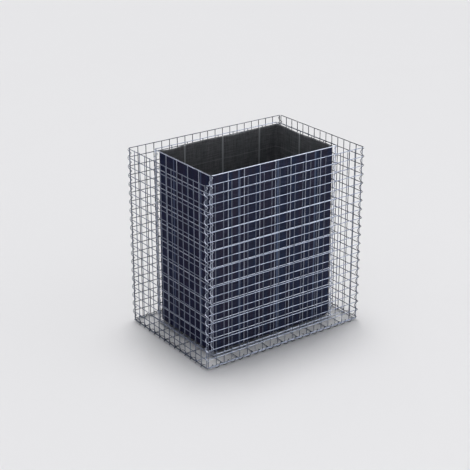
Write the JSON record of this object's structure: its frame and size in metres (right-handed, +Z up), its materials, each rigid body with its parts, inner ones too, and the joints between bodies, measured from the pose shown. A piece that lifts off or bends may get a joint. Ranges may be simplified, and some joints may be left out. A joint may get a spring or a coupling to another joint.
{
  "type": "gabion planter",
  "caption": "Rectangular gabion planter: a welded wire basket inside a larger one, with a gap for stones around a black fabric liner that holds the soil.",
  "frame": {"origin": "on the ground under the centre of the planter", "axes": "+Z up, X along the longer sides, -Y towards the front long side that the picture shows"},
  "size_m": [1.0326, 0.7326, 1.0166],
  "materials": {
    "galvanised_mesh": "satin",
    "galvanised_spiral": "satin",
    "liner_fabric": "matte"
  },
  "bodies": {
    "root": {"base_panel": "galvanised_mesh", "fabric_liner": "liner_fabric", "inner_back_base_spiral": "galvanised_spiral", "inner_back_left_spiral": "galvanised_spiral", "inner_back_panel": "galvanised_mesh", "inner_back_right_spiral": "galvanised_spiral", "inner_front_base_spiral": "galvanised_spiral", "inner_front_left_spiral": "galvanised_spiral", "inner_front_panel": "galvanised_mesh", "inner_front_right_spiral": "galvanised_spiral", "inner_left_base_spiral": "galvanised_spiral", "inner_left_panel": "galvanised_mesh", "inner_right_base_spiral": "galvanised_spiral", "inner_right_panel": "galvanised_mesh", "outer_back_base_spiral": "galvanised_spiral", "outer_back_left_spiral": "galvanised_spiral", "outer_back_panel": "galvanised_mesh", "outer_back_right_spiral": "galvanised_spiral", "outer_front_base_spiral": "galvanised_spiral", "outer_front_left_spiral": "galvanised_spiral", "outer_front_panel": "galvanised_mesh", "outer_front_right_spiral": "galvanised_spiral", "outer_left_base_spiral": "galvanised_spiral", "outer_left_panel": "galvanised_mesh", "outer_right_base_spiral": "galvanised_spiral", "outer_right_panel": "galvanised_mesh"}
  },
  "joints": []
}
